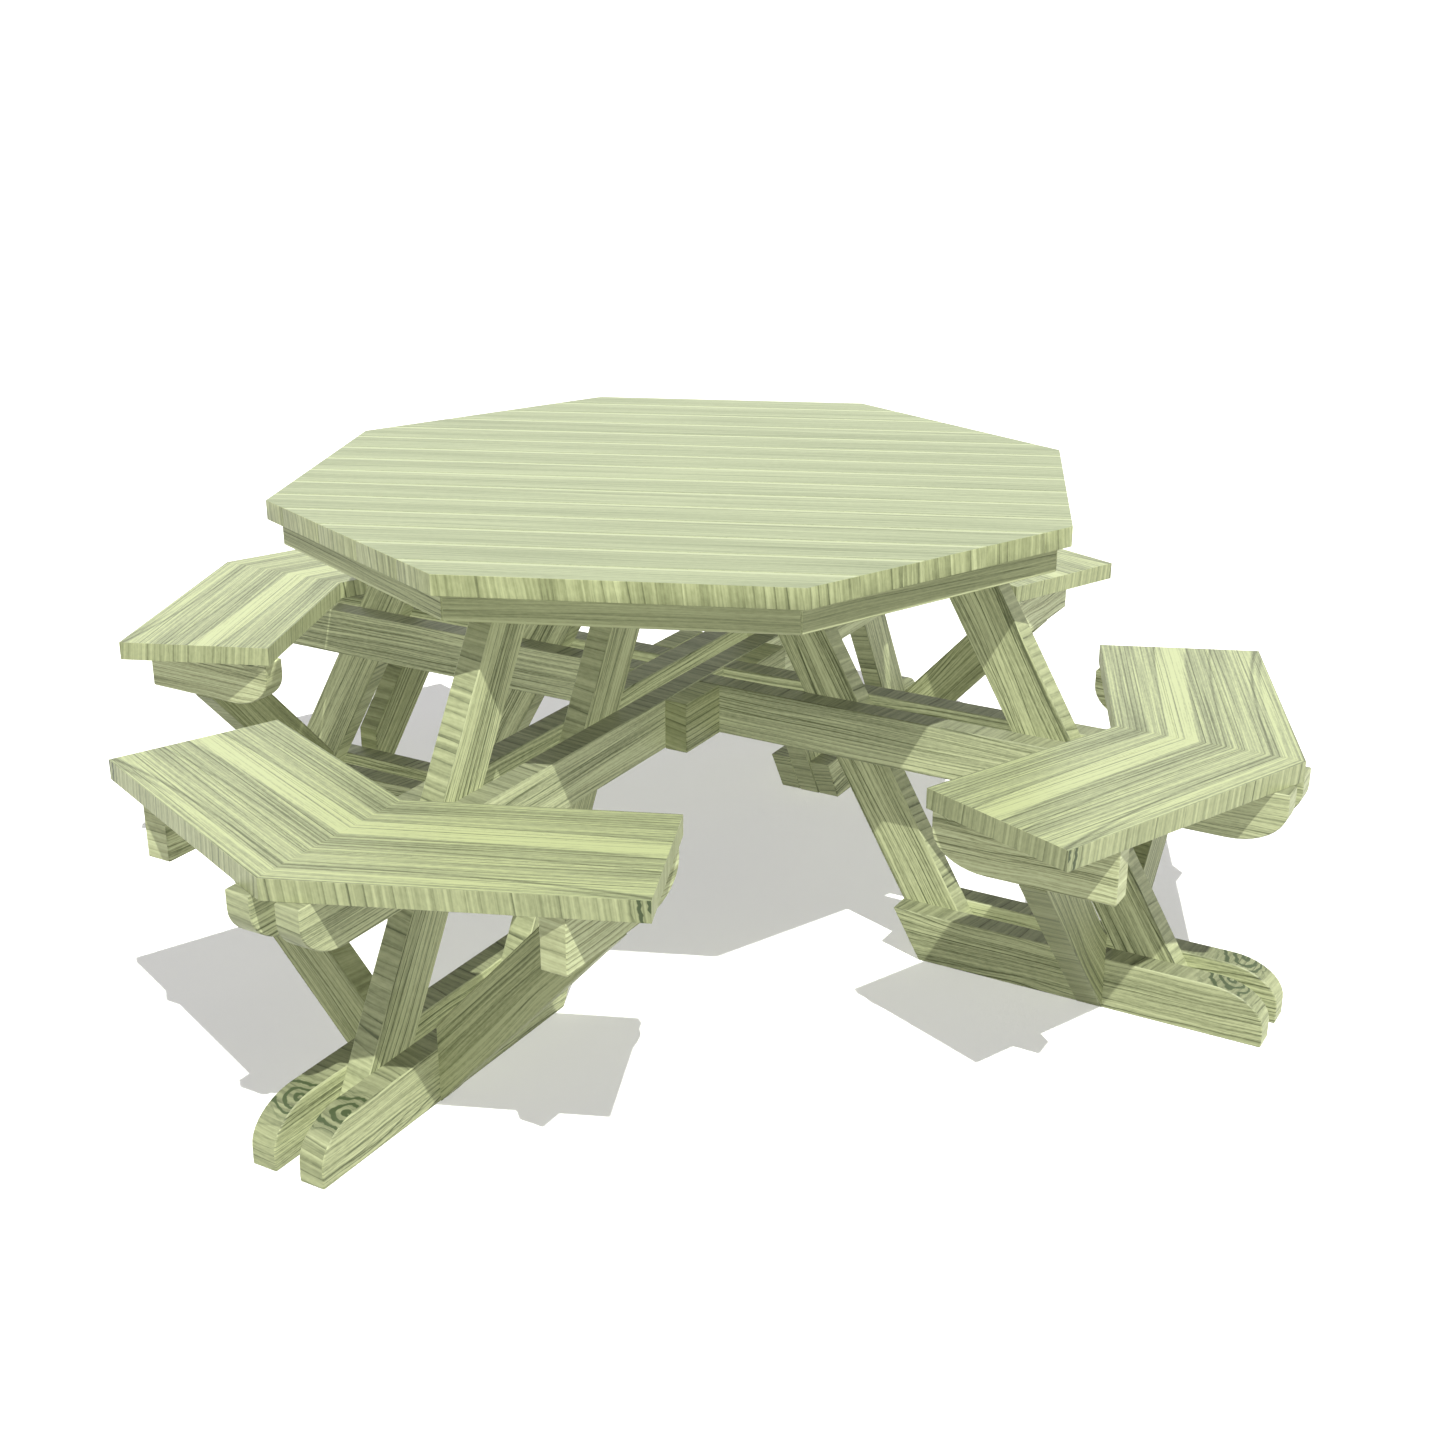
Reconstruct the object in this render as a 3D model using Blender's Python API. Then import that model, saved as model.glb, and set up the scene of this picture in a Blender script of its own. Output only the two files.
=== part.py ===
"""Octagonal timber picnic table for eight: one table top, four chevron seats, four inclined-leg
frames on skids.  Metres, +Z up, the feet stand on z = 0, and the four arms run along +X, +Y, -X, -Y."""
import math

import bmesh
import bpy
from mathutils import Matrix, Vector

# ---- driving sizes (millimetres) -------------------------------------------------
STOCK_T, STOCK_D = 42.0, 85.0        # the frame timber: thickness and depth
BOARD_T = 31.5                       # top boards and seat planks
GAP = 0.3                            # clearance between touching pieces
EDGE = 1.5                           # eased arris

TABLE_H = 750.0
TOP_R = 677.0                        # octagon, centre to corner
TOP_PITCH = 85.7                     # board width plus joint
JOINT = 1.4                          # open joint between neighbouring boards
JOINT_DEPTH = 24.0                   # boards are held together below this depth
GRAIN_ANGLE = math.radians(22.5)     # the boards run parallel to two sides of the octagon

APRON_R, APRON_H, APRON_W = 655.0, 42.0, 85.0
CROSS_LEN = 1072.0                   # hidden bearers under the top, halved into each other

SEAT_TOP = 447.5
SEAT_IN_R, SEAT_OUT_R = 765.0, 1054.0   # centre to the inner and outer points of the chevron
SEAT_END = 101.5                     # the square end, beyond the foot of the half's normal
PLANKS = 3

RAIL_LEN = 1050.0                    # centre to the rounded end
CLEAT_LEN = 108.0
ROUND_A, ROUND_B = 85.0, 57.0        # the elliptical rounding of rails, skids and seat bearers

LEAN = math.tan(math.radians(30.0))  # legs lean outwards going down
LEG_IN_X, LEG_OUT_X = 241.0, 605.4   # inner edge of each leg at the height LEG_REF
LEG_REF = 417.5
LEG_W = STOCK_D / math.cos(math.radians(30.0))

SKID_OUT = 1049.0                    # centre to the rounded toe
SKID_IN_TOP = 434.5                  # centre to the slanted heel, along the top

BEARER_IN, BEARER_OUT = 624.0, 899.0
BEARER_FACE = 364.0                  # outer face, measured from the arm's axis

STRUT_X0, STRUT_X1 = 757.0, 799.0    # along the arm
STRUT_RISE = 125.5                   # height of the vertical cut against the skid

FACE_IN = STOCK_T / 2                # inner face of skids and rails, from the arm's axis
FACE = FACE_IN + STOCK_T             # their outer face
C22, S22 = math.cos(math.radians(22.5)), math.sin(math.radians(22.5))

SEAT_BOTTOM = SEAT_TOP - BOARD_T
TOP_BOTTOM = TABLE_H - BOARD_T
RAIL_TOP = SEAT_BOTTOM - GAP
RAIL_BOTTOM = RAIL_TOP - STOCK_D
ARMS = {"east": 0.0, "north": 90.0, "west": 180.0, "south": 270.0}


# ---- helpers --------------------------------------------------------------------
def clear_scene():
    for item in list(bpy.data.objects):
        bpy.data.objects.remove(item, do_unlink=True)


def timber(name, colour, roughness):
    mat = bpy.data.materials.new(name)
    mat.use_nodes = True
    shader = next(n for n in mat.node_tree.nodes if n.type == "BSDF_PRINCIPLED")
    shader.inputs["Base Color"].default_value = (*colour, 1.0)
    shader.inputs["Roughness"].default_value = roughness
    shader.inputs["Metallic"].default_value = 0.0
    return mat


def ease(bm, width=EDGE, sharper_than=28.0):
    """Breaks every real arris, leaving the facets of a rounded end alone."""
    limit = math.radians(sharper_than)
    edges = [e for e in bm.edges if len(e.link_faces) == 2 and e.calc_face_angle(0.0) > limit]
    bmesh.ops.bevel(bm, geom=edges, offset=width * 0.001, segments=1, profile=0.5,
                    affect="EDGES", material=-1, clamp_overlap=True)


def add(name, bm, mat, at=(0, 0, 0), turn=0.0):
    """Finishes a mesh as a named piece whose own origin is the middle of its box.
    at (mm) and turn place the frame that the mesh was drawn in."""
    bmesh.ops.recalc_face_normals(bm, faces=bm.faces[:])
    low = Vector([min(v.co[i] for v in bm.verts) for i in range(3)])
    high = Vector([max(v.co[i] for v in bm.verts) for i in range(3)])
    middle = (low + high) / 2
    bmesh.ops.translate(bm, verts=bm.verts[:], vec=-middle)
    mesh = bpy.data.meshes.new(name)
    bm.to_mesh(mesh)
    bm.free()
    mesh.materials.append(mat)
    piece = bpy.data.objects.new(name, mesh)
    bpy.context.scene.collection.objects.link(piece)
    middle.rotate(Matrix.Rotation(turn, 3, "Z"))
    piece.location = Vector(at) * 0.001 + middle
    piece.rotation_euler = (0.0, 0.0, turn)
    return piece


def extrude_outline(outline, plane, low, high):
    """Sweeps an outline (mm) drawn in plane "xz", "yz" or "xy" from low to high along the third axis."""
    bm = bmesh.new()
    put = {"xz": lambda a, b, c: (a, c, b), "yz": lambda a, b, c: (c, a, b), "xy": lambda a, b, c: (a, b, c)}[plane]
    rings = [[bm.verts.new(Vector(put(a, b, c)) * 0.001) for a, b in outline] for c in (low, high)]
    bm.faces.new(rings[0])
    bm.faces.new(rings[1][::-1])
    count = len(outline)
    for k in range(count):
        j = (k + 1) % count
        bm.faces.new((rings[0][k], rings[1][k], rings[1][j], rings[0][j]))
    bmesh.ops.recalc_face_normals(bm, faces=bm.faces[:])
    return bm


def quarter(cx, cz, a, b, start, steps=10):
    """Points of a quarter ellipse about (cx, cz), turning from angle start by 90 degrees."""
    return [(cx + a * math.cos(math.radians(start + 90.0 * k / steps)),
             cz + b * math.sin(math.radians(start + 90.0 * k / steps))) for k in range(steps + 1)]


def comb(width, depth, joints, length_low, length_high):
    """A slab of boards along X: open joints cut from above, held together underneath."""
    outline = [(-width / 2, 0.0), (width / 2, 0.0), (width / 2, depth)]
    for y in sorted(joints, reverse=True):
        outline += [(y + JOINT / 2, depth), (y + JOINT / 2, depth - JOINT_DEPTH),
                    (y - JOINT / 2, depth - JOINT_DEPTH), (y - JOINT / 2, depth)]
    outline.append((-width / 2, depth))
    return extrude_outline(outline, "yz", length_low, length_high)


def trim(bm, point, normal):
    """Cuts away everything on the normal's side of a plane (mm) and closes the cut."""
    geom = bm.verts[:] + bm.edges[:] + bm.faces[:]
    cut = bmesh.ops.bisect_plane(bm, geom=geom, dist=1e-7, plane_co=Vector(point) * 0.001,
                                 plane_no=Vector(normal), clear_outer=True)
    rim = [e for e in cut["geom_cut"] if isinstance(e, bmesh.types.BMEdge) and e.is_boundary]
    bmesh.ops.contextual_create(bm, geom=rim)


# ---- the table top ---------------------------------------------------------------
def build_top(mat, under_mat):
    flats = TOP_R * C22
    joints = [(k - 0.5) * TOP_PITCH for k in range(-6, 8)]
    bm = comb(2 * flats, BOARD_T, joints, -TOP_R, TOP_R)
    for k in range(8):
        a = math.radians(45.0 * k)
        if k not in (2, 6):
            trim(bm, (flats * math.cos(a), flats * math.sin(a), 0), (math.cos(a), math.sin(a), 0))
    add("table_top", bm, mat, at=(0, 0, TOP_BOTTOM), turn=GRAIN_ANGLE)

    # the apron: eight mitred lengths laid flat in a ring under the edge of the top
    out, inn = APRON_R * C22, APRON_R * C22 - APRON_W
    for k in range(8):
        half_out, half_in = out * math.tan(math.pi / 8) - GAP, inn * math.tan(math.pi / 8) - GAP
        bm = extrude_outline([(-half_out, 0), (half_out, 0), (half_in, -APRON_W), (-half_in, -APRON_W)],
                             "xy", 0, APRON_H)
        ease(bm)
        a = math.radians(22.5 + 45.0 * k)
        add("apron_%d" % (k + 1), bm, under_mat, turn=a - math.pi / 2,
            at=(out * math.cos(a), out * math.sin(a), TOP_BOTTOM - GAP - APRON_H))

    # hidden bearers: two pairs crossing at the middle, halved flush into each other;
    # the leg tops stand in the slots between each pair
    lines = [-CROSS_LEN / 2, -FACE, -FACE_IN, FACE_IN, FACE, CROSS_LEN / 2]
    bm = bmesh.new()
    verts = {}
    for i in range(5):
        for j in range(5):
            if i in (1, 3) or j in (1, 3):
                corners = ((i, j), (i + 1, j), (i + 1, j + 1), (i, j + 1))
                for key in corners:
                    if key not in verts:
                        verts[key] = bm.verts.new((lines[key[0]] * 0.001, lines[key[1]] * 0.001, 0.0))
                bm.faces.new([verts[key] for key in corners])
    grown = bmesh.ops.extrude_face_region(bm, geom=bm.faces[:])
    risen = [v for v in grown["geom"] if isinstance(v, bmesh.types.BMVert)]
    bmesh.ops.translate(bm, verts=risen, vec=(0, 0, APRON_H * 0.001))
    add("top_cross_bearers", bm, under_mat, at=(0, 0, TOP_BOTTOM - GAP - APRON_H))


# ---- seats -----------------------------------------------------------------------
def build_seat(arm, angle, mat):
    """A chevron in two halves mitred on the arm's axis; the planks of each half run along its own X."""
    width = (SEAT_OUT_R - SEAT_IN_R) * C22
    radius = (SEAT_OUT_R + SEAT_IN_R) / 2
    joints = [width * (k / PLANKS - 0.5) for k in range(1, PLANKS)]
    for side, sign in (("left", 1), ("right", -1)):
        bm = comb(width, BOARD_T, joints, -SEAT_OUT_R * S22 - STOCK_T, SEAT_END)
        away = Vector((-C22, sign * S22, 0))
        trim(bm, Vector((-radius * S22, 0, 0)) - away * GAP, away)
        at = Vector((radius * C22 * C22, sign * radius * C22 * S22, SEAT_BOTTOM))
        at.rotate(Matrix.Rotation(math.radians(angle), 3, "Z"))
        add("seat_%s_%s" % (arm, side), bm, mat, at=at, turn=math.radians(angle + sign * 112.5))


# ---- one arm of the frame ---------------------------------------------------------
def leg_edge(x_ref, z):
    return x_ref + LEAN * (LEG_REF - z)


def build_arm(arm, angle, mats):
    turn = math.radians(angle)
    skid_z = STOCK_D

    for label, x_ref in (("inner", LEG_IN_X), ("outer", LEG_OUT_X)):
        top = TOP_BOTTOM - GAP
        outline = [(leg_edge(x_ref, 0), 0), (leg_edge(x_ref, 0) + LEG_W, 0),
                   (leg_edge(x_ref, top) + LEG_W, top), (leg_edge(x_ref, top), top)]
        bm = extrude_outline(outline, "xz", -FACE_IN + GAP, FACE_IN - GAP)
        ease(bm)
        add("leg_%s_%s" % (arm, label), bm, mats["leg"], turn=turn)

    for side, sign in (("left", 1), ("right", -1)):
        low, high = sorted((sign * FACE_IN, sign * FACE))
        # skid: slanted heel in line with the inner leg, rounded toe
        toe = quarter(SKID_OUT - ROUND_A, skid_z - ROUND_B, ROUND_A, ROUND_B, 0)
        outline = [(SKID_IN_TOP + LEAN * skid_z, 0), (SKID_OUT, 0)] + toe + [(SKID_IN_TOP, skid_z)]
        bm = extrude_outline(outline, "xz", low, high)
        ease(bm)
        add("skid_%s_%s" % (arm, side), bm, mats["skid"], turn=turn)

        # seat bearer: parallel to the arm, rounded at its inner end
        low, high = sorted((sign * (BEARER_FACE - STOCK_T), sign * BEARER_FACE))
        nose = quarter(BEARER_IN + ROUND_A, RAIL_BOTTOM + ROUND_B, ROUND_A, ROUND_B, 180)
        outline = [(BEARER_OUT, RAIL_TOP), (BEARER_IN, RAIL_TOP)] + nose + [(BEARER_OUT, RAIL_BOTTOM)]
        bm = extrude_outline(outline, "xz", low, high)
        ease(bm)
        add("seat_bearer_%s_%s" % (arm, side), bm, mats["bearer"], turn=turn)

        # strut: from the skid's outer face up to the underside of the seat bearer
        foot, top = FACE + GAP, RAIL_BOTTOM - GAP
        slope = top / (BEARER_FACE - foot)
        outline = [(foot, 0), (BEARER_FACE, top), (foot + (top - STRUT_RISE) / slope, top), (foot, STRUT_RISE)]
        bm = extrude_outline([(sign * y, z) for y, z in outline], "yz", STRUT_X0, STRUT_X1)
        ease(bm)
        add("strut_%s_%s" % (arm, side), bm, mats["strut"], turn=turn)


def rail_outline(start):
    nose = quarter(RAIL_LEN - ROUND_A, RAIL_BOTTOM + ROUND_B, ROUND_A, ROUND_B, 0)
    nose = [(x, 2 * (RAIL_BOTTOM + ROUND_B) - z) for x, z in nose]
    return [(start, RAIL_TOP), (RAIL_LEN, RAIL_TOP)] + nose + [(start, RAIL_BOTTOM)]


def build_rails(mat, cleat_mat):
    # two through rails along Y, rounded at both ends
    half = rail_outline(0)[1:-1]
    outline = [(x, z) for x, z in half] + [(-x, z) for x, z in reversed(half)]
    for side, sign in (("east", 1), ("west", -1)):
        low, high = sorted((sign * FACE_IN, sign * FACE))
        bm = extrude_outline(outline, "yz", low, high)
        ease(bm)
        add("through_rail_%s" % side, bm, mat)
    # four short rails along X, butting the through rails' outer faces
    for arm, angle in (("east", 0.0), ("west", 180.0)):
        for side, sign in (("left", 1), ("right", -1)):
            low, high = sorted((sign * FACE_IN, sign * FACE))
            bm = extrude_outline(rail_outline(FACE + GAP), "xz", low, high)
            ease(bm)
            add("short_rail_%s_%s" % (arm, side), bm, mat, turn=math.radians(angle))
    # a cleat in each inner corner ties the short rails to the through rails
    for k, (sx, sy) in enumerate(((1, 1), (-1, 1), (-1, -1), (1, -1))):
        x0, x1 = sorted((sx * (FACE + GAP), sx * (FACE + GAP + STOCK_T)))
        y0, y1 = sorted((sy * (FACE + GAP), sy * (FACE + GAP + CLEAT_LEN)))
        bm = extrude_outline([(x0, y0), (x1, y0), (x1, y1), (x0, y1)], "xy", RAIL_BOTTOM, RAIL_TOP)
        ease(bm)
        add("corner_cleat_%d" % (k + 1), bm, cleat_mat)


def main():
    clear_scene()
    top_mat = timber("top_timber", (0.60, 0.66, 0.42), 0.62)
    under_mat = timber("apron_timber", (0.38, 0.42, 0.24), 0.66)
    seat_mat = timber("seat_timber", (0.58, 0.63, 0.36), 0.62)
    rail_mat = timber("rail_timber", (0.42, 0.46, 0.26), 0.66)
    cleat_mat = timber("cleat_timber", (0.40, 0.44, 0.25), 0.66)
    arm_mats = {
        "leg": timber("leg_timber", (0.44, 0.48, 0.27), 0.66),
        "skid": timber("skid_timber", (0.43, 0.47, 0.26), 0.68),
        "bearer": timber("bearer_timber", (0.42, 0.46, 0.25), 0.66),
        "strut": timber("strut_timber", (0.42, 0.46, 0.26), 0.66),
    }
    build_top(top_mat, under_mat)
    build_rails(rail_mat, cleat_mat)
    for arm, angle in ARMS.items():
        build_arm(arm, angle, arm_mats)
        build_seat(arm, angle, seat_mat)


main()
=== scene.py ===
"""Octagonal picnic table of pressure-treated softwood, with four chevron seats on sloping legs and skids.
Metres, +Z up, standing on z = 0. The four arms of the frame run along +X, +Y, -X and -Y."""
import collections
import math

import bmesh
import bpy
from mathutils import Matrix, Vector


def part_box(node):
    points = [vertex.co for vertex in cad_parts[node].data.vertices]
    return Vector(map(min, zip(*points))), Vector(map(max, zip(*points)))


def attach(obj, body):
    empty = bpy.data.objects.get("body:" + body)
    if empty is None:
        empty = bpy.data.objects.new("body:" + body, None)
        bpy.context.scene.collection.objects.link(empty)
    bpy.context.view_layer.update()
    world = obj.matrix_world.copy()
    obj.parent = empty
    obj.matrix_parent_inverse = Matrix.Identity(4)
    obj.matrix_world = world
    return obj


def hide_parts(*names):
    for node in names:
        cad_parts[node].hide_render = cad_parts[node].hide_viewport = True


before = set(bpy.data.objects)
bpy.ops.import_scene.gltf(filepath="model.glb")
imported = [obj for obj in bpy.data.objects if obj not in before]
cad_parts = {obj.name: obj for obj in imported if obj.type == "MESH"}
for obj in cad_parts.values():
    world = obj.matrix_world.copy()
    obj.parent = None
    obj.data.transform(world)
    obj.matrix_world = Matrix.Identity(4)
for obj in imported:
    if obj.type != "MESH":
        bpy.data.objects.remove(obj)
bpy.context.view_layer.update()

MM = 0.001
UP = Vector((0, 0, 1))
ARMS = {"east": 0.0, "north": 90.0, "west": 180.0, "south": 270.0}
SIDES = {"left": 1, "right": -1}
OCTAGON = 22.5                     # degrees from an arm to the middle of the next side
C22, S22 = math.cos(math.radians(OCTAGON)), math.sin(math.radians(OCTAGON))

# top boards and the bearers under them
TOP_BOARDS = 15                    # the first and the last are ripped narrower
BOARD_PITCH = 85.7 * MM            # width and joint
BOARD_GAP = 1.0 * MM
BOARD_TURN = 22.5                  # degrees: the boards run parallel to two sides of the octagon
BEARER_NEAR, BEARER_FAR = 21 * MM, 63 * MM    # each top bearer's two sides, from the middle
NOTCH_FIT = 0.2 * MM               # play of the halved joints
ARRIS = 0.7 * MM                   # the eased edges of boards

# seats
PLANKS = 3
PLANK_GAP = 0.3 * MM
PLANK_ARRIS = 0.35 * MM
MITRE_GAP = 0.05 * MM
SEAT_IN_R, SEAT_OUT_R = 765.0 * MM, 1054.0 * MM    # the corners of the chevron, from the middle
SEAT_END = 101.5 * MM              # the square end, along the plank from where it is nearest the middle

# slopes of the frame timbers
LEG_LEAN = math.radians(30.0)      # from upright
STRUT_RISE = math.atan(1.096)      # above the ground

# how a shape is read
WIDE_ENOUGH = 0.7                  # a face this squarely across the thickness is a wide face
SOFT_EDGE = math.radians(16)       # flatter edges than this are shaded smooth
EASED_EDGE = math.radians(28)      # sharper edges than this are eased
SAME_SPOT = 0.02 * MM
SAME_PLANE = math.radians(0.4)

# how the grain is laid
NARROW_SPREAD = 0.5                # lines stand further apart on the narrow faces
NARROW_DEPTH = 0.3
SLANT = 0.12                       # and cross them at a slant
NO_KNOT = 9.0                      # far out of any knot's reach
SEED_STEP, SEED_SPAN = (0.613, 0.377, 0.291), (7.1, 5.3, 3.7)
APRON_SEED, BEARER_SEED, FRAME_SEED = 30, 50, 60
SEAT_SEED = Vector((0, 0, 0.7))    # the same for all planks, so the figure runs over a whole seat

# wide says which faces it is on, x and y where, in the metres of their grain, and size how big it is
Knot = collections.namedtuple("Knot", "wide x y size")
TOE_KNOT = Knot(False, -18 * MM, 205 * MM, 1.15)
BEARER_KNOT = Knot(True, -100 * MM, 50 * MM, 0.5)
SEAT_RIM_KNOT = Knot(False, 6 * MM, SEAT_END + 12 * MM, 0.85)


# ---- timber -----------------------------------------------------------------------
def turned(vector, degrees):
    """A vector of the east arm, as it is on the arm that stands at this angle."""
    return Matrix.Rotation(math.radians(degrees), 3, "Z") @ Vector(vector)


def spin(bm, degrees, axis="Z"):
    """Turns a whole shape about an axis through the origin."""
    turn = Matrix.Rotation(math.radians(degrees), 3, axis)
    bmesh.ops.rotate(bm, verts=bm.verts[:], cent=(0, 0, 0), matrix=turn)
    bm.normal_update()


def seed_of(number, sideways=True):
    """A fixed place in the pattern for each piece, so that no two pieces show the same figure."""
    spot = Vector([step * number % span for step, span in zip(SEED_STEP, SEED_SPAN)])
    if not sideways:
        spot.y = 0.0
    return spot


def lay_grain(bm, along, across, seed, middle, wrap=0, knot=None):
    """Stores on each face how the growth lines run there, in metres: x along them, y across, z depth.
    Wide faces have them lengthwise and the cut, narrow faces crosswise. wrap carries the narrow
    faces' lines round a nose: 1 or -1 says which way the outline turns there. The knot layer holds
    where a corner lies from the knot, and in z whether its face is wide."""
    grain = bm.loops.layers.float_vector.new("grain")
    place = bm.loops.layers.float_vector.new("knot")
    thick = along.cross(across)
    if thick.z < -0.5:
        thick.negate()
    for face in bm.faces:
        wide = abs(face.normal.dot(thick)) > WIDE_ENOUGH
        run = face.normal.cross(thick)
        run = run.normalized() if run.length > 1e-3 else along
        if run.dot(along) < -1e-4:
            run = -run
        for loop in face.loops:
            p = loop.vert.co - middle
            a, b, c = p.dot(along), p.dot(across), p.dot(thick)
            if wide:
                spot = flow = Vector((a, b, c))
            else:
                spot = Vector((c, a + wrap * b if wrap else p.dot(run), NARROW_DEPTH))
                flow = Vector((c, NARROW_SPREAD * (spot.y + SLANT * c), NARROW_DEPTH))
            loop[grain] = flow + seed
            loop[place] = Vector((NO_KNOT, NO_KNOT, wide))
            if knot and knot.wide == wide:
                loop[place] = Vector(((spot.x - knot.x) / knot.size, (spot.y - knot.y) / knot.size, wide))


def finish_piece(name, bm, slot, replaced):
    """Turns a bmesh into a named piece that stands for a CAD node."""
    for face in bm.faces:
        face.smooth = True
    for edge in bm.edges:
        edge.smooth = len(edge.link_faces) == 2 and edge.calc_face_angle(0.0) < SOFT_EDGE
    mesh = bpy.data.meshes.new(name)
    bm.to_mesh(mesh)
    bm.free()
    mesh.materials.append(slot_material[slot])
    piece = bpy.data.objects.new(name, mesh)
    bpy.context.scene.collection.objects.link(piece)
    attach(piece, "root")
    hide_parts(replaced)


def copy_of(node):
    """The CAD node's shape, with its loose triangles joined back into whole faces."""
    bm = bmesh.new()
    bm.from_mesh(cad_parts[node].data)
    bmesh.ops.remove_doubles(bm, verts=bm.verts[:], dist=SAME_SPOT)
    bmesh.ops.dissolve_limit(bm, angle_limit=SAME_PLANE, verts=bm.verts[:], edges=bm.edges[:])
    bm.normal_update()
    return bm


def prism(corners, low, high):
    """A board: a flat outline at height low, extruded to height high."""
    bm = bmesh.new()
    face = bm.faces.new([bm.verts.new((x, y, low)) for x, y in corners])
    if face.normal.z > 0:
        face.normal_flip()
    grown = bmesh.ops.extrude_face_region(bm, geom=[face], use_keep_orig=True)
    top = [v for v in grown["geom"] if isinstance(v, bmesh.types.BMVert)]
    bmesh.ops.translate(bm, verts=top, vec=(0, 0, high - low))
    bmesh.ops.recalc_face_normals(bm, faces=bm.faces[:])
    return bm


def ease(bm, width):
    """Rounds the sharp edges, as sanding does."""
    edges = [e for e in bm.edges if e.calc_face_angle(0.0) > EASED_EDGE]
    bmesh.ops.bevel(bm, geom=edges, offset=width, segments=2, profile=0.5, affect="EDGES", material=-1)
    bm.normal_update()


# ---- materials ---------------------------------------------------------------------
TIMES, PLUS, POWER = {"operation": "MULTIPLY"}, {"operation": "ADD"}, {"operation": "POWER"}
TIMES_PLUS = {"operation": "MULTIPLY_ADD"}

# growth lines
LINE_SPACING = 9.0 * MM            # on average: coarser than real rings, so that they show
CROWDING = 7.0                     # how many lines the crowding moves them by
KNOT_BEND = 2.5                    # how many lines a knot pushes them aside by
LATE_WOOD = [(0.0, 0.0), (0.68, 0.08), (0.86, 0.45), (0.94, 1.0), (1.0, 0.0)]
FAINT_BELOW, BOLD_ABOVE = 0.40, 0.64
FAINTEST_LINE = 0.10
# how much each pattern darkens the wood, and what they come to on average
LINE_WEIGHT, BROAD_WEIGHT, FIBRE_WEIGHT, FUZZ_WEIGHT = 0.95, 1.10, 2.00, 0.65
AVERAGE = 2.00
NARROW_CONTRAST = 0.58
TONE_PLACES = (0.10, 0.50, 0.95)   # where the pale, middle and dark colours stand
# knots
KNOT_LONG, KNOT_WIDE = 58.8, 41.7  # millimetres from the heart to the rim
RAGGED = 0.6                       # how far the rim strays, as a share of that
KNOT_RIM, KNOT_FULL = 1.45, 0.95
RINGS = 20.0
RING_EDGE, RING_FAINT, RING_BOLD = 0.6, 0.12, 1.25
KNOT_COLOUR = "2A3617"
# surface
LINE_DEPTH = -0.6                  # how deep the lines lie, with the fibres' height as 1
BUMP_STRENGTH, BUMP_HEIGHT = 0.25, 0.3 * MM
SHINIER, DULLER = 0.06, 0.08       # how far roughness strays on pale and on dark wood


def linear(code):
    """An sRGB hex colour as linear red, green, blue and alpha."""
    parts = [int(code[k:k + 2], 16) / 255 for k in (0, 2, 4)]
    return [c / 12.92 if c <= 0.04045 else ((c + 0.055) / 1.055) ** 2.4 for c in parts] + [1.0]


def per_metre(*sizes):
    """How many features of these sizes, in millimetres, there are to the metre: a pattern's scale."""
    return tuple(1000 / size for size in sizes)


def put(tree, kind, settings=None, **sockets):
    """Adds a node with its settings. Each socket, named or numbered as s0, s1, takes a value, an
    output to link, or a node whose first output is linked."""
    made = tree.nodes.new(kind)
    for key, value in (settings or {}).items():
        if key == "stops":
            ramp = made.color_ramp
            while len(ramp.elements) < len(value):
                ramp.elements.new(0.5)
            for stop, (place, shade) in zip(ramp.elements, value):
                stop.position = place
                stop.color = linear(shade) if isinstance(shade, str) else (shade, shade, shade, 1.0)
        else:
            setattr(made, key, value)
    for key, value in sockets.items():
        numbered = key[0] == "s" and key[1:].isdigit()
        socket = made.inputs[int(key[1:]) if numbered else key.replace("_", " ")]
        if isinstance(value, bpy.types.Node):
            value = value.outputs[0]
        if isinstance(value, bpy.types.NodeSocket):
            tree.links.new(value, socket)
        else:
            socket.default_value = value
    return made


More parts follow.
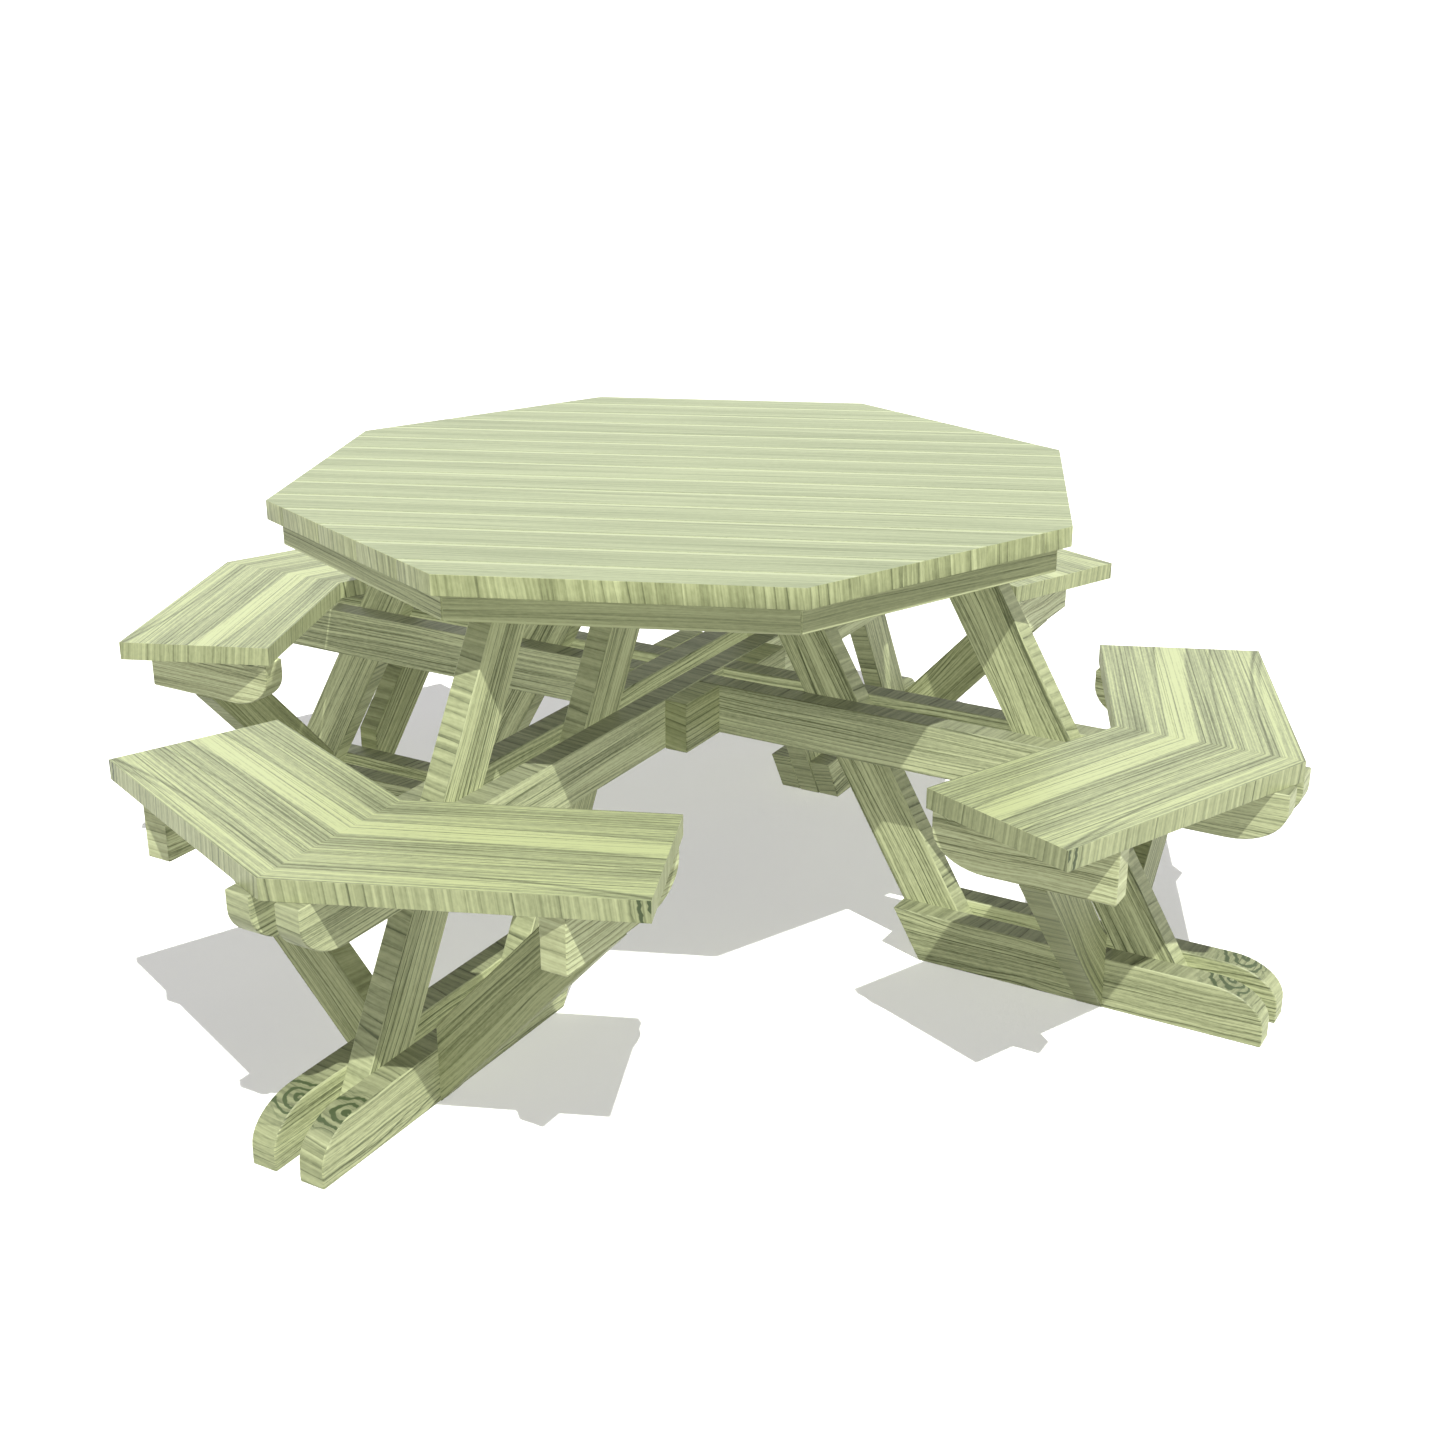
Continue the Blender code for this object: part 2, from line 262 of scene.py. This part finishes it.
def treated_softwood(use, wide_colours, narrow_colours, roughness, figure=None, contrast=1.0,
                     painted_top_shade=0.0, sway=11.0, straight=1.0):
    """Pressure-treated, planed softwood: pale early wood with thin dark late-wood lines that wander
    along the grain, fine fibres, yellow-green streaks, and here and there a dark green knot.
    Colours are pale, middle and dark. sway is in millimetres. weathered is painted shade: how much darker
    a face that looks straight up is made, to tone down the sun on it. straight below 1 keeps the lines
    parallel."""
    mat = bpy.data.materials.new("Pressure-treated planed softwood, " + use)
    mat.use_nodes = True
    tree = mat.node_tree
    shader = next(n for n in tree.nodes if n.type == "BSDF_PRINCIPLED")
    grain = put(tree, "ShaderNodeAttribute", {"attribute_name": "grain"}).outputs["Vector"]
    knot = put(tree, "ShaderNodeAttribute", {"attribute_name": "knot"}).outputs["Vector"]
    wide = put(tree, "ShaderNodeSeparateXYZ", s0=knot).outputs["Z"]

    # the whole figure sways a little from side to side along the piece
    slow = put(tree, "ShaderNodeMapping", s0=grain, Scale=per_metre(476.2 / straight, 125, 166.7))
    wander = put(tree, "ShaderNodeTexNoise", Vector=slow, Scale=1.0, Detail=2.0, Roughness=0.5)
    push = put(tree, "ShaderNodeMath", TIMES_PLUS, s0=wander, s1=2.0 * sway * MM, s2=-sway * MM)
    shift = put(tree, "ShaderNodeCombineXYZ", Y=push)
    swayed = put(tree, "ShaderNodeVectorMath", PLUS, s0=grain, s1=shift).outputs[0]

    # how near the knot is, out to a ragged rim
    ragged = put(tree, "ShaderNodeTexNoise", Vector=grain, Scale=per_metre(23.81)[0], Detail=2.5)
    reach = put(tree, "ShaderNodeVectorMath", TIMES, s0=knot, s1=per_metre(KNOT_LONG, KNOT_WIDE) + (0.0,))
    far = put(tree, "ShaderNodeVectorMath", {"operation": "LENGTH"}, s0=reach).outputs["Value"]
    edge = put(tree, "ShaderNodeMath", TIMES_PLUS, s0=ragged, s1=RAGGED, s2=far)
    inside = put(tree, "ShaderNodeMapRange", Value=edge, From_Min=KNOT_RIM, From_Max=KNOT_FULL)

    # growth lines: a saw-tooth across the grain whose spacing varies, bent round a knot
    across = put(tree, "ShaderNodeSeparateXYZ", s0=swayed).outputs["Y"]
    crowd = put(tree, "ShaderNodeMapping", s0=swayed, Scale=per_metre(833.3 / straight, 83.333, 111.11))
    crowding = put(tree, "ShaderNodeTexNoise", Vector=crowd, Scale=1.0, Detail=1.0)
    lines = put(tree, "ShaderNodeMath", TIMES, s0=across, s1=1.0 / LINE_SPACING)
    lines = put(tree, "ShaderNodeMath", TIMES_PLUS, s0=crowding, s1=CROWDING, s2=lines)
    lines = put(tree, "ShaderNodeMath", TIMES_PLUS, s0=inside, s1=KNOT_BEND, s2=lines)
    tooth = put(tree, "ShaderNodeMath", {"operation": "FRACT"}, s0=lines)
    late = put(tree, "ShaderNodeValToRGB", {"stops": LATE_WOOD}, Fac=tooth)

    # some lines are strong and others hardly show
    strength_at = put(tree, "ShaderNodeMapping", s0=swayed, Scale=per_metre(909.1, 21.739, 166.7))
    strength = put(tree, "ShaderNodeTexNoise", Vector=strength_at, Scale=1.0, Detail=2.0)
    strong = put(tree, "ShaderNodeMapRange", Value=strength, From_Min=FAINT_BELOW, From_Max=BOLD_ABOVE,
                 To_Min=FAINTEST_LINE)
    line_tone = put(tree, "ShaderNodeMath", TIMES, s0=late, s1=strong)

    # long fibres, 3 mm apart, which is coarser than real ones so that they show
    fibre_at = put(tree, "ShaderNodeMapping", s0=swayed, Scale=per_metre(400, 3.3333, 16.667))
    fibre = put(tree, "ShaderNodeTexNoise", Vector=fibre_at, Scale=1.0, Detail=2.0, Roughness=0.6)
    # the fuzz of the planed surface, also drawn coarse
    fuzz_at = put(tree, "ShaderNodeMapping", s0=grain, Scale=per_metre(11.111, 2.6316, 11.111))
    fuzz = put(tree, "ShaderNodeTexNoise", Vector=fuzz_at, Scale=1.0, Detail=2.0, Roughness=0.6)
    # broad streaks of paler and greener wood
    broad_at = put(tree, "ShaderNodeMapping", s0=swayed, Scale=per_metre(1000, 31.25, 200))
    broad = put(tree, "ShaderNodeTexNoise", Vector=broad_at, Scale=1.0, Detail=3.0, Roughness=0.6)

    # all of them as one tone, 0.5 in the middle, that picks the colour
    tone = put(tree, "ShaderNodeMath", TIMES_PLUS, s0=line_tone, s1=LINE_WEIGHT, s2=-AVERAGE)
    for pattern, weight in ((broad, BROAD_WEIGHT), (fibre, FIBRE_WEIGHT), (fuzz, FUZZ_WEIGHT)):
        tone = put(tree, "ShaderNodeMath", TIMES_PLUS, s0=pattern, s1=weight, s2=tone)
    boldness = put(tree, "ShaderNodeMapRange", Value=wide, To_Min=NARROW_CONTRAST, To_Max=contrast)
    tone = put(tree, "ShaderNodeMath", TIMES_PLUS, s0=tone, s1=boldness, s2=0.5)
    if figure:
        drawn = put(tree, "ShaderNodeMath", TIMES, s0=figure(tree, grain, swayed), s1=wide)
        tone = put(tree, "ShaderNodeMath", PLUS, s0=tone, s1=drawn)
    colour = put(tree, "ShaderNodeValToRGB", {"stops": list(zip(TONE_PLACES, wide_colours))}, Fac=tone)
    if narrow_colours != wide_colours:
        narrow = put(tree, "ShaderNodeValToRGB", {"stops": list(zip(TONE_PLACES, narrow_colours))}, Fac=tone)
        colour = put(tree, "ShaderNodeMix", {"data_type": "RGBA"}, s0=wide, s6=narrow, s7=colour).outputs[2]
    # painted shade: faces that look up are darkened, to tone down the sun on them
    if painted_top_shade:
        normal = put(tree, "ShaderNodeNewGeometry").outputs["Normal"]
        facing = put(tree, "ShaderNodeSeparateXYZ", s0=normal).outputs["Z"]
        shade = put(tree, "ShaderNodeMapRange", Value=facing, To_Min=1.0, To_Max=1.0 - painted_top_shade)
        colour = put(tree, "ShaderNodeVectorMath", {"operation": "SCALE"}, s0=colour, Scale=shade)

    # the knot's rings are dark green
    turns = put(tree, "ShaderNodeMath", TIMES, s0=edge, s1=RINGS)
    rings = put(tree, "ShaderNodeMath", {"operation": "SINE"}, s0=turns)
    ringed = put(tree, "ShaderNodeMapRange", Value=rings, From_Max=RING_EDGE, To_Min=RING_FAINT,
                 To_Max=RING_BOLD)
    knotted = put(tree, "ShaderNodeMath", dict(TIMES, use_clamp=True), s0=inside, s1=ringed)
    colour = put(tree, "ShaderNodeMix", {"data_type": "RGBA"}, s0=knotted, s6=colour, s7=linear(KNOT_COLOUR))
    tree.links.new(colour.outputs[2], shader.inputs["Base Color"])

    # late wood lies a little deeper and shines less than early wood
    relief = put(tree, "ShaderNodeMath", TIMES_PLUS, s0=line_tone, s1=LINE_DEPTH, s2=fibre)
    bump = put(tree, "ShaderNodeBump", Strength=BUMP_STRENGTH, Distance=BUMP_HEIGHT, Height=relief)
    tree.links.new(bump.outputs[0], shader.inputs["Normal"])
    rough = put(tree, "ShaderNodeMapRange", Value=tone, To_Min=roughness - SHINIER,
                To_Max=roughness + DULLER)
    tree.links.new(rough.outputs[0], shader.inputs["Roughness"])
    shader.inputs["Metallic"].default_value = 0.0
    shader.inputs["IOR"].default_value = 1.5
    return mat


def drawn_lines(tree, stops, place, strength):
    """What a row of lines adds to the tone: darker where a stop is over 0.5, paler where it is under."""
    row = put(tree, "ShaderNodeValToRGB", {"stops": stops}, Fac=place)
    return put(tree, "ShaderNodeMath", TIMES_PLUS, s0=row, s1=strength, s2=-strength / 2)


# across a top board: plain wood, a dark line, the painted highlight of the sunlit edge, then the dark line of
# the joint
BOARD_LINES_AND_HIGHLIGHT = [(0.0, 0.60), (0.05, 0.52), (0.45, 0.56), (0.82, 0.50), (0.872, 0.66), (0.886, 0.06),
               (0.972, 0.02), (0.984, 0.70), (1.0, 0.80)]
# across a seat, from its inner edge: plain wood, the bright band between dark lines, then plain wood
# with a few dark lines, the boldest of which runs out to the outer corner
SEAT_LINES = [(0.0, 0.45), (0.10, 0.52), (0.24, 0.55), (0.272, 0.80), (0.284, 1.0), (0.292, 0.22),
              (0.45, 0.20), (0.468, 0.66), (0.50, 0.58), (0.585, 0.50), (0.597, 0.85), (0.610, 0.48),
              (0.70, 0.44), (0.815, 0.46), (0.832, 1.0), (0.846, 0.50), (0.872, 0.75), (0.885, 0.45),
              (1.0, 0.55)]
BOARD_STRENGTH, SEAT_STRENGTH = 1.25, 1.05
LINE_DRIFT, LINE_LEAN = -0.9, -0.07
# painted highlight: the apron's lowest few millimetres are made paler, where its lower edge catches the light
HIGHLIGHT_EDGE, HIGHLIGHT_TONE = (4.5 * MM, 3.5 * MM), -0.45


def board_lines_and_highlight(tree, grain, _swayed):
    """Each top board has one painted highlight along its far edge, where the edge catches the sun, then the
    dark line of the joint.
    """
    across = put(tree, "ShaderNodeSeparateXYZ", s0=grain).outputs["Y"]
    part = put(tree, "ShaderNodeMath", TIMES, s0=across, s1=1.0 / BOARD_PITCH)
    return drawn_lines(tree, BOARD_LINES_AND_HIGHLIGHT, part, BOARD_STRENGTH)


def painted_edge_highlight(tree, grain, _swayed):
    """The apron's lowest 4 mm are painted paler: a painted highlight along its lower edge."""
    height = put(tree, "ShaderNodeSeparateXYZ", s0=grain).outputs["Y"]
    start, full = HIGHLIGHT_EDGE
    return put(tree, "ShaderNodeMapRange", Value=height, From_Min=start, From_Max=full, To_Max=HIGHLIGHT_TONE)


def chevron_figure(tree, grain, swayed):
    """The lines along a seat. They drift outwards, and more so towards its square end."""
    plain = put(tree, "ShaderNodeSeparateXYZ", s0=grain)
    across = put(tree, "ShaderNodeSeparateXYZ", s0=swayed).outputs["Y"]
    part = put(tree, "ShaderNodeMath", TIMES, s0=across, s1=1.0 / ((SEAT_OUT_R - SEAT_IN_R) * C22))
    # how far from the mitre, along the plank
    out, run = plain.outputs["Y"], plain.outputs["X"]
    slope = put(tree, "ShaderNodeMath", TIMES_PLUS, s0=out, s1=S22 / C22, s2=run)
    reach = put(tree, "ShaderNodeMath", PLUS, s0=slope, s1=SEAT_IN_R * S22)
    ahead = put(tree, "ShaderNodeMath", {"operation": "MAXIMUM"}, s0=reach, s1=0.0)
    growing = put(tree, "ShaderNodeMath", POWER, s0=ahead, s1=3.0)
    drift = put(tree, "ShaderNodeMath", TIMES, s0=growing, s1=LINE_DRIFT)
    drifted = put(tree, "ShaderNodeMath", TIMES_PLUS, s0=part, s1=drift, s2=part)
    leaning = put(tree, "ShaderNodeMath", TIMES_PLUS, s0=reach, s1=LINE_LEAN, s2=drifted)
    return drawn_lines(tree, SEAT_LINES, leaning, SEAT_STRENGTH)


# pale, middle and dark
FRAME_WOOD = ("A2A87D", "828862", "484E32")
# painted shade: the seats' wide faces take this darker copy of the frame wood, to tone down the sun on the
# seat tops
SEAT_PAINTED_SHADE_WOOD = ("8F966B", "707656", "454A30")
# painted shade: a darker copy of the wood for the boards' wide faces, to tone down the sun on the table top
TOP_PAINTED_SHADE_WOOD = ("8A916D", "737A5B", "525A3D")
TOP_RIM_WOOD = ("9EA479", "7A8059", "464C2D")
# painted shade: a darker copy of the wood, for the shade the cleats and struts stand in
SHADED_WOOD = ("8F956B", "737952", "484E31")
# painted light: paler than the frame wood, to lift the shade the rails stand in
RAIL_PAINTED_LIGHT_WOOD = ("A9AF84", "888E6A", "545A3C")
# painted light: the palest copy of the wood, to lift the shade under the seats
BEARER_PAINTED_LIGHT_WOOD = ("B2B98C", "939870", "5D6343")
SMOOTH, PLANED = 0.5, 0.6          # roughness where it is sat at and leant on, and elsewhere

slot_material = {
    # quiet grain with a painted highlight along each board: the eye reads a slatted, slightly shiny top
    "top_timber": treated_softwood("table boards", TOP_PAINTED_SHADE_WOOD, TOP_RIM_WOOD, SMOOTH, board_lines_and_highlight,
                                   contrast=0.55),
    # quiet grain with a painted highlight along the lower edge, dull
    "apron_timber": treated_softwood("apron", FRAME_WOOD, FRAME_WOOD, PLANED, painted_edge_highlight, contrast=0.6),
    # lines that run parallel and turn at the mitre, with one bright band: the chevron is seen at once
    "seat_timber": treated_softwood("seat planks", SEAT_PAINTED_SHADE_WOOD, FRAME_WOOD, SMOOTH, chevron_figure,
                                    contrast=0.9, sway=4.0, straight=0.35),
    # paler wood with strong lines: painted light that lifts the shade the rails stand in, and painted shade
    # on the faces that look up
    "rail_timber": treated_softwood("rails", RAIL_PAINTED_LIGHT_WOOD, RAIL_PAINTED_LIGHT_WOOD, PLANED, painted_top_shade=0.5),
    # wood painted darker for the shade under the top, with strong lines
    "cleat_timber": treated_softwood("cleats", SHADED_WOOD, SHADED_WOOD, PLANED),
    # strong lines that wander, and painted shade on the faces that look up
    "leg_timber": treated_softwood("legs", FRAME_WOOD, FRAME_WOOD, PLANED, painted_top_shade=0.45, straight=1.3),
    # the same with the liveliest lines, and a dark knot over each rounded toe
    "skid_timber": treated_softwood("skids", FRAME_WOOD, FRAME_WOOD, PLANED, painted_top_shade=0.45, sway=17.0,
                                    straight=1.5),
    # the palest wood, painted light that lifts the shade under the seats, with lively lines
    "bearer_timber": treated_softwood("seat bearers", BEARER_PAINTED_LIGHT_WOOD, BEARER_PAINTED_LIGHT_WOOD, PLANED, sway=15.0,
                                      straight=1.7),
    # wood painted darker for the shade the struts stand in, with lively lines and painted shade on the faces
    # that look up
    "strut_timber": treated_softwood("struts", SHADED_WOOD, SHADED_WOOD, PLANED, painted_top_shade=0.45, sway=14.0,
                                     straight=1.3),
}


# ---- the table top -----------------------------------------------------------------
def lay_top():
    """The top boards, each with its ends cut to the octagon."""
    low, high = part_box("table_top")
    flat = high.x * C22
    joints = [(k - TOP_BOARDS / 2) * BOARD_PITCH for k in range(TOP_BOARDS + 1)]
    along, across = turned((1, 0, 0), BOARD_TURN), turned((0, 1, 0), BOARD_TURN)
    for k in range(TOP_BOARDS):
        near = joints[k] + BOARD_GAP / 2 if k else -flat
        far = joints[k + 1] - BOARD_GAP / 2 if k < TOP_BOARDS - 1 else flat
        bm = prism([(-flat, near), (flat, near), (flat, far), (-flat, far)], low.z, high.z)
        for quarter in range(4):
            away = turned((1, 0, 0), 45 + 90 * quarter)
            whole = bm.verts[:] + bm.edges[:] + bm.faces[:]
            cut = bmesh.ops.bisect_plane(bm, geom=whole, dist=1e-6, plane_co=away * flat, plane_no=away,
                                         clear_outer=True)
            rim = [e for e in cut["geom_cut"] if isinstance(e, bmesh.types.BMEdge) and e.is_boundary]
            if rim:
                bmesh.ops.contextual_create(bm, geom=rim)
        bmesh.ops.recalc_face_normals(bm, faces=bm.faces[:])
        ease(bm, ARRIS)
        spin(bm, BOARD_TURN)
        lay_grain(bm, along, across, seed_of(k + 1, sideways=False), across * joints[k])
        finish_piece("top_board_%02d" % (k + 1), bm, "top_timber", "table_top")


def lay_apron():
    """Eight lengths under the edge of the top."""
    for k in range(8):
        node = "apron_%d" % (k + 1)
        bm = copy_of(node)
        along = turned((0, 1, 0), OCTAGON + 45 * k)
        seed = seed_of(APRON_SEED + k, sideways=False)
        lay_grain(bm, along, UP, seed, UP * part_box(node)[0].z)
        finish_piece("apron_length_%d" % (k + 1), bm, "apron_timber", node)


def halved_bearer(reach, low, high, notch_below):
    """A bearer along X, on edge, with a half-depth notch where it crosses each bearer of the other
    pair. notch_below says from which side the notches are cut."""
    near, far = BEARER_NEAR, BEARER_FAR
    middle = (low + high) / 2
    depth = middle + NOTCH_FIT if notch_below else middle - NOTCH_FIT
    plain, cut = (high, low) if notch_below else (low, high)
    outline = [(-reach, plain), (-reach, cut)]
    for start, end in ((-far, -near), (near, far)):
        start, end = start - NOTCH_FIT, end + NOTCH_FIT
        outline += [(start, cut), (start, depth), (end, depth), (end, cut)]
    outline += [(reach, cut), (reach, plain)]
    bm = prism(outline, -far, -near)
    spin(bm, 90, "X")
    bmesh.ops.recalc_face_normals(bm, faces=bm.faces[:])
    ease(bm, ARRIS)
    return bm


def lay_top_bearers():
    """Four bearers on edge, two along X and two along Y, halved into each other."""
    low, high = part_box("top_cross_bearers")
    for k, label in enumerate(("x_1", "y_1", "x_2", "y_2")):
        turn = 90 * k
        bm = halved_bearer(high.x, low.z, high.z, label[0] == "x")
        spin(bm, turn)
        lay_grain(bm, turned((1, 0, 0), turn), UP, seed_of(BEARER_SEED + k), Vector())
        finish_piece("cross_bearer_" + label, bm, "apron_timber", "top_cross_bearers")


# ---- seats -------------------------------------------------------------------------
def lay_seats():
    """Four chevrons, each of two mitred halves with three planks a half."""
    low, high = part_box("seat_east_left")
    inner, outer = SEAT_IN_R * C22, SEAT_OUT_R * C22
    width = (outer - inner) / PLANKS
    slope = S22 / C22
    half_height = UP * (low.z + high.z) / 2
    for arm, angle in ARMS.items():
        for side, sign in SIDES.items():
            away, along = Vector((C22, sign * S22, 0)), Vector((-S22, sign * C22, 0))
            for plank in range(PLANKS):
                outermost = plank == PLANKS - 1
                near = inner + plank * width + (PLANK_GAP / 2 if plank else 0)
                far = inner + (plank + 1) * width - (0 if outermost else PLANK_GAP / 2)
                spots = [away * near + along * (MITRE_GAP - near * slope), away * near + along * SEAT_END,
                         away * far + along * SEAT_END, away * far + along * (MITRE_GAP - far * slope)]
                if sign < 0:
                    spots.reverse()
                bm = prism([(p.x, p.y) for p in spots], low.z, high.z)
                ease(bm, PLANK_ARRIS)
                spin(bm, angle)
                foot = turned(away * inner, angle) + half_height
                lay_grain(bm, turned(along, angle), turned(away, angle), SEAT_SEED, foot,
                          knot=SEAT_RIM_KNOT if outermost else None)
                finish_piece("seat_plank_%s_%s_%d" % (arm, side, plank + 1), bm, "seat_timber",
                             "seat_%s_%s" % (arm, side))


# ---- the frame ---------------------------------------------------------------------
def lay_timber(name, node, along, across, slot, number, wrap=0, knot=None):
    """A timber that keeps its CAD node's shape."""
    low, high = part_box(node)
    bm = copy_of(node)
    lay_grain(bm, Vector(along), Vector(across), seed_of(number), (low + high) / 2, wrap, knot)
    finish_piece(name, bm, slot, node)


def lay_frame():
    """Legs, skids, seat bearers, struts, rails and cleats. number picks each one's own figure."""
    number = FRAME_SEED
    down_leg = (math.sin(LEG_LEAN), 0, -math.cos(LEG_LEAN))
    across_leg = (math.cos(LEG_LEAN), 0, math.sin(LEG_LEAN))
    for arm, angle in ARMS.items():
        out = turned((1, 0, 0), angle)
        for label in ("inner", "outer"):
            lay_timber("%s_leg_%s" % (label, arm), "leg_%s_%s" % (arm, label), turned(down_leg, angle),
                       turned(across_leg, angle), "leg_timber", number)
            number += 1
        for side, sign in SIDES.items():
            tail = "%s_%s" % (arm, side)
            up_strut = turned((0, sign * math.cos(STRUT_RISE), math.sin(STRUT_RISE)), angle)
            across_strut = turned((0, -sign * math.sin(STRUT_RISE), math.cos(STRUT_RISE)), angle)
            lay_timber("skid_timber_" + tail, "skid_" + tail, out, UP, "skid_timber", number, -1, TOE_KNOT)
            lay_timber("bearer_timber_" + tail, "seat_bearer_" + tail, out, UP, "bearer_timber", number + 1,
                       -1, BEARER_KNOT)
            lay_timber("strut_timber_" + tail, "strut_" + tail, up_strut, across_strut, "strut_timber",
                       number + 2)
            if arm in ("east", "west"):
                lay_timber("rail_timber_" + tail, "short_rail_" + tail, out, UP, "rail_timber", number + 3, 1)
            number += 4
    for side in ("east", "west"):
        lay_timber("long_rail_" + side, "through_rail_" + side, (0, 1, 0), UP, "rail_timber", number, 1)
        number += 1
    for k in range(4):
        lay_timber("cleat_timber_%d" % (k + 1), "corner_cleat_%d" % (k + 1), (0, 1, 0), UP, "cleat_timber",
                   number + k)


# ---- stage -------------------------------------------------------------------------
SUN_TRAVEL, DOWN = Vector((-0.404, 0.359, -1.0)), Vector((0, 0, -1))
# how brightly each would light a white sheet that faces it
SUN_LIGHT, DOME_LIGHT, FILL_ABOVE, FILL_SIDE = 2.05, 0.15, 0.47, 0.54
SUN_SPREAD, DOME_SPREAD, FILL_SPREAD = 0.6, 150.0, 20.0    # degrees across
SHADE_TINT = (1.0, 0.99, 1.07)     # light that fills the shade is a touch bluer
SKY_STRENGTH = 1.6
FLOOR_REACH = 40                   # metres
LENS, SENSOR = 46.83, 36.0         # millimetres
CAMERA_SPOT = (1.5764, -2.6230, 1.4790)
CAMERA_YAW, CAMERA_PITCH = math.radians(119.80), math.radians(-20.945)


def lay_floor():
    """A matt white studio floor: it takes the table's shadow and is otherwise blank to the eye."""
    mesh = bpy.data.meshes.new("floor")
    bm = bmesh.new()
    bmesh.ops.create_grid(bm, x_segments=1, y_segments=1, size=FLOOR_REACH)
    bm.to_mesh(mesh)
    bm.free()
    floor = bpy.data.objects.new("floor", mesh)
    bpy.context.scene.collection.objects.link(floor)
    paint = bpy.data.materials.new("Matt white studio floor")
    paint.use_nodes = True
    shader = next(n for n in paint.node_tree.nodes if n.type == "BSDF_PRINCIPLED")
    shader.inputs["Base Color"].default_value = linear("EDEDE6")
    shader.inputs["Roughness"].default_value = 0.9
    shader.inputs["Specular IOR Level"].default_value = 0.0
    mesh.materials.append(paint)
    floor.visible_diffuse = False


def light_stage():
    """A white sky that the camera and the gloss see, one crisp key light, a wide soft one, and small
    ones that fill the shade without shadows."""
    scene = bpy.context.scene
    world = bpy.data.worlds.new("studio")
    scene.world = world
    world.use_nodes = True
    backdrop = next(n for n in world.node_tree.nodes if n.type == "BACKGROUND")
    backdrop.inputs["Color"].default_value = (1.0, 1.0, 1.0, 1.0)
    backdrop.inputs["Strength"].default_value = SKY_STRENGTH
    world.cycles_visibility.diffuse = False

    lamps = [("key", SUN_TRAVEL, SUN_LIGHT, SUN_SPREAD), ("dome", DOWN, DOME_LIGHT, DOME_SPREAD),
             ("fill_above", DOWN, FILL_ABOVE, FILL_SPREAD)]
    lamps += [("fill_%d" % k, turned((1, 0, 0), 45 + 90 * k), FILL_SIDE, FILL_SPREAD) for k in range(4)]
    for name, travel, power, spread in lamps:
        light = bpy.data.lights.new(name, "SUN")
        light.energy = power * math.pi
        light.angle = math.radians(spread)
        light.use_shadow = not name.startswith("fill")
        if name != "key":
            light.color = SHADE_TINT
        lamp = bpy.data.objects.new(name, light)
        lamp.visible_glossy = name == "key"
        lamp.rotation_euler = travel.to_track_quat("-Z", "Y").to_euler()
        scene.collection.objects.link(lamp)


def place_camera():
    """The camera, and colours shown as they are."""
    scene = bpy.context.scene
    lens = bpy.data.cameras.new("camera")
    lens.lens = LENS
    lens.sensor_width = SENSOR
    camera = bpy.data.objects.new("camera", lens)
    level = math.cos(CAMERA_PITCH)
    look = Vector((level * math.cos(CAMERA_YAW), level * math.sin(CAMERA_YAW), math.sin(CAMERA_PITCH)))
    camera.location = CAMERA_SPOT
    camera.rotation_euler = look.to_track_quat("-Z", "Y").to_euler()
    scene.collection.objects.link(camera)
    scene.camera = camera
    scene.view_settings.view_transform = "Standard"
    scene.view_settings.look = "None"


lay_top()
lay_apron()
lay_top_bearers()
lay_seats()
lay_frame()
lay_floor()
light_stage()
place_camera()

bpy.context.view_layer.update()
